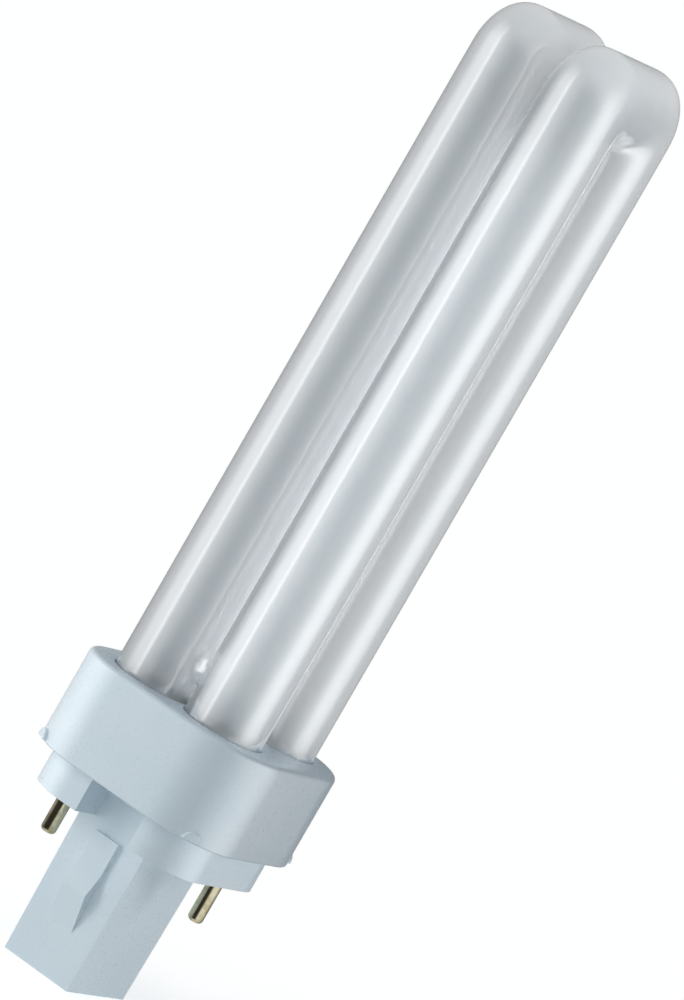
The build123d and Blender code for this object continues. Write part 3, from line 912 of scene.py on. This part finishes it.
def round_holes(piece):
    """A small round on the upper edge of each leg hole."""
    bm = bmesh.new()
    bm.from_mesh(piece.data)
    rims = [
        edge for edge in edges_at(bm, collar_high.z)
        if all(abs(math.hypot(abs(vert.co.x) - u_place, abs(vert.co.y) - leg_place)
                   - TUBE_RADIUS - HOLE_GAP) < TOLERANCE for vert in edge.verts)
        and edge.calc_face_angle(0) > RIM_FOLD]
    bevel_edges(bm, rims, HOLE_EDGE, EDGE_STEPS)
    bm.to_mesh(piece.data)
    bm.free()
    return len(rims)


def shade_by_angle(piece):
    """Rounded shading, with a crease along every edge that turns by more than a small angle."""
    shade_smooth(piece)
    bm = bmesh.new()
    bm.from_mesh(piece.data)
    for edge in bm.edges:
        edge.smooth = edge.calc_face_angle(math.pi) < math.radians(CREASE_DEGREES)
    bm.to_mesh(piece.data)
    bm.free()


hollow_collar(collar)
print("rounded", round_holes(collar), "edges round the leg holes")
shade_by_angle(collar)
finish_piece(collar, "collar", plastic_finish, "plastic")

# %% [markdown]
# The base is one moulding: a flange under the collar, a step with two latch channels and, below the seat, a
# hollow post with a catch on each broad side. It could be pulled out of one mesh face by face, but the
# sizes are easier to keep when each form is a simple solid of its own and booleans join them. The base
# looks the same after half a turn, so what is on one side is copied to the other.

# %% Forms of the base
POST_SIZE = (0.0120, 0.0168)   # at the post's end
POST_DRAFT = math.radians(0.75)
CATCH_HALF = 0.0022
CATCH_LINE = (                 # height above the post's end, reach out of the post's face
    (0.0072, 0.0), (0.0132, 0.0020), (0.0163, 0.0008), (0.0217, 0.0008))
CATCH_ROOT = 0.0006            # how far the catch reaches into the post's wall
STEP_INSET = 0.0026
CHANNEL_NEAR = 0.0038          # a channel's two sides, from the lamp's axis
CHANNEL_FAR = 0.0062

mounts = {mount["name"]: mount for mount in frame["record"]["mounts"]}
seat_height = mounts["seat_face"]["pos_m"][2]
step_width = collar_width - 2 * STEP_INSET


def box(name, low, high):
    """A box between two corners."""
    size = [b - a for a, b in zip(low, high)]
    middle = [(a + b) / 2 for a, b in zip(low, high)]
    bm = bmesh.new()
    bmesh.ops.create_cube(bm, size=1.0, matrix=Matrix.Translation(middle) @ Matrix.Diagonal((*size, 1)))
    return object_from(name, bm)


def twin(name, piece):
    """A copy of an object, half a turn round the lamp's axis."""
    bm = bmesh.new()
    bm.from_mesh(piece.data)
    bmesh.ops.rotate(bm, cent=(0, 0, 0), matrix=Matrix.Rotation(math.pi, 3, "Z"), verts=bm.verts)
    return object_from(name, bm)


def with_twin(piece):
    """An object and its twin."""
    return [piece, twin(piece.name + "_twin", piece)]


def post_face(height):
    """Distance from the axis to the post's broad face at a height."""
    return POST_SIZE[1] / 2 + height * math.tan(POST_DRAFT)


def make_post(top):
    """The post's outer form, leaning out slightly towards the seat."""
    bm = bmesh.new()
    bmesh.ops.create_grid(bm, x_segments=1, y_segments=1, size=0.5)
    bmesh.ops.scale(bm, vec=(*POST_SIZE, 1), verts=bm.verts)
    extrude_up(bm, (0, 0, top))
    spread = 2 * top * math.tan(POST_DRAFT)
    upper = [vert for vert in bm.verts if vert.co.z > top / 2]
    wider = ((POST_SIZE[0] + spread) / POST_SIZE[0], (POST_SIZE[1] + spread) / POST_SIZE[1], 1)
    bmesh.ops.scale(bm, vec=wider, verts=upper)
    return object_from("post", bm)


def make_catch():
    """The latch catch on the broad side towards -Y."""
    tip, top = CATCH_LINE[0][0], CATCH_LINE[-1][0]
    line = [(-post_face(z) - reach, z) for z, reach in CATCH_LINE]
    line += [(CATCH_ROOT - post_face(z), z) for z in (top, tip)]
    bm = bmesh.new()
    outline = [bm.verts.new((-CATCH_HALF, y, z)) for y, z in line]
    bmesh.ops.contextual_create(bm, geom=outline)
    extrude_up(bm, (2 * CATCH_HALF, 0, 0))
    return object_from("catch", bm)


def make_base():
    """Step, flange, post and catches in one solid."""
    step = column(
        "base_moulding", step_width, COLLAR_CORNER - STEP_INSET, seat_height, flange_top - SPARE / 2)
    channel = box(
        "channel", (-CHANNEL_NEAR, -step_width, seat_height - SPARE),
        (CHANNEL_FAR, SPARE - post_face(seat_height), collar_low.z))
    joined(step, with_twin(channel), "DIFFERENCE")
    flange_gap = collar_width / 2 - base_high.x
    flange = column("flange", 2 * base_high.x, COLLAR_CORNER - flange_gap, collar_low.z, flange_top)
    return joined(step, [flange, make_post(collar_low.z + SPARE), *with_twin(make_catch())], "UNION")


base = make_base()
print("base has", len(base.data.polygons), "faces before it is hollow")

# %% [markdown]
# A moulding has walls of even thickness. The post is bored out, a room is cut in the step with walls left
# round the latch channels, and each lug gets the hole for its pin. Bevelling by hand would miss some of the
# many edges, so a Bevel modifier rounds each sharp one by the small amount that a moulding tool leaves.

# %% Hollow base
LUG_WALL = 0.0012
LUG_FLOOR = 0.0016
POST_WALL = 0.0012
POST_FLOOR = 0.0014
PIN_STAKE_RADIUS = 0.001425    # the pin where it is held in the lug's floor
HOLE_FIT = 0.00002
MOULD_EDGE = 0.00028
SHARP_DEGREES = 30

pin_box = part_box("contact_pin_right")
pin_place = (pin_box[0] + pin_box[1]) / 2


def make_cavity():
    """The room inside the step, with walls left round the latch channels."""
    room = column(
        "cavity", step_width - 2 * LUG_WALL, COLLAR_CORNER - STEP_INSET - LUG_WALL,
        seat_height + LUG_FLOOR, flange_top + SPARE)
    wall = box(
        "channel_wall", (-CHANNEL_NEAR - LUG_WALL, -step_width, seat_height),
        (CHANNEL_FAR + LUG_WALL, POST_WALL - POST_SIZE[1] / 2, flange_top + 2 * SPARE))
    return joined(room, with_twin(wall), "DIFFERENCE")


def hollow_base(solid):
    """The base after its bore, its room and its pin holes are cut."""
    inner = [size / 2 - POST_WALL for size in POST_SIZE]
    bore = box("bore", (-inner[0], -inner[1], POST_FLOOR), (inner[0], inner[1], flange_top + SPARE))
    hole = rod("pin_hole", PIN_STAKE_RADIUS + HOLE_FIT, pin_place.x, pin_place.y,
               seat_height - SPARE, seat_height + LUG_FLOOR + SPARE)
    return joined(solid, [make_cavity(), bore, *with_twin(hole)], "DIFFERENCE")


def round_edges(piece, width):
    """A live bevel on every sharp edge, with flat faces kept flat in their shading."""
    shade_smooth(piece)
    bevel = piece.modifiers.new("mould_edge", "BEVEL")
    bevel.width = width
    bevel.segments = EDGE_STEPS
    bevel.profile = 0.5
    bevel.limit_method = "ANGLE"
    bevel.angle_limit = math.radians(SHARP_DEGREES)
    bevel.miter_outer = "MITER_ARC"
    normals = piece.modifiers.new("flat_faces", "WEIGHTED_NORMAL")
    normals.keep_sharp = True


hollow_base(base)
round_edges(base, MOULD_EDGE)
finish_piece(base, "base", plastic_finish, "plastic")
LIT["post"].objects.link(base)
print("base has", len(base.data.polygons), "faces before its bevel")

# %% [markdown]
# A pin is round all along, so it is a row of rings again, from the rounded tip up to the head that holds it
# in the base, and down into the bore that takes its wire.

# %% Contact pins
PIN_RADIUS = 0.001175
PIN_TIP_ROUND = 0.0007
PIN_HEAD_RADIUS = 0.001675
PIN_HEAD_HEIGHT = 0.0008
PIN_BORE_RADIUS = 0.00045
PIN_BORE_DEPTH = 0.0050
TIP_ROWS = 8
PIN_STEPS = 64


def pin_line(tip):
    """The pin's radius and height at each ring."""
    floor_top = seat_height + LUG_FLOOR
    head_top = floor_top + PIN_HEAD_HEIGHT
    line = []
    for i in range(TIP_ROWS + 1):
        turn = math.pi / 2 * i / TIP_ROWS
        line.append((
            PIN_RADIUS - PIN_TIP_ROUND * (1 - math.sin(turn)), tip + PIN_TIP_ROUND * (1 - math.cos(turn))))
    return line + [
        (PIN_RADIUS, seat_height), (PIN_STAKE_RADIUS, seat_height), (PIN_STAKE_RADIUS, floor_top),
        (PIN_HEAD_RADIUS, floor_top), (PIN_HEAD_RADIUS, head_top), (PIN_BORE_RADIUS, head_top),
        (PIN_BORE_RADIUS, head_top - PIN_BORE_DEPTH)]


def make_pin(side):
    """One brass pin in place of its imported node."""
    low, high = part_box(f"contact_pin_{side}")
    middle = (low + high) / 2
    places = [
        Matrix.Translation((middle.x, middle.y, z)) @ Matrix.Diagonal((radius, radius, 1, 1))
        for radius, z in pin_line(low.z)]
    bm = bmesh.new()
    loft_rings(bm, places, PIN_STEPS)
    pin = object_from(f"pin_{side}", bm)
    shade_by_angle(pin)
    finish_piece(pin, f"contact_pin_{side}", brass_finish, "brass")
    return pin


for side in ("left", "right"):
    print("made", make_pin(side).name)

# %% [markdown]
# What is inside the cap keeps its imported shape, because nobody sees it: the cement that holds the legs, the
# glow starter, its capacitor and the wires. Each still gets its own finish, for whoever opens the lamp.

# %% Hidden pieces
HIDDEN = {
    "tube_cement": cement_finish, "glow_starter": bulb_finish, "capacitor": dip_finish,
    "pin_lead_left": wire_finish, "pin_lead_right": wire_finish,
    "starter_lead_left": wire_finish, "starter_lead_right": wire_finish}
for name, material in HIDDEN.items():
    for material_slot in frame["nodes"][name].material_slots:
        material_slot.material = material
print("finished", len(HIDDEN), "hidden pieces")
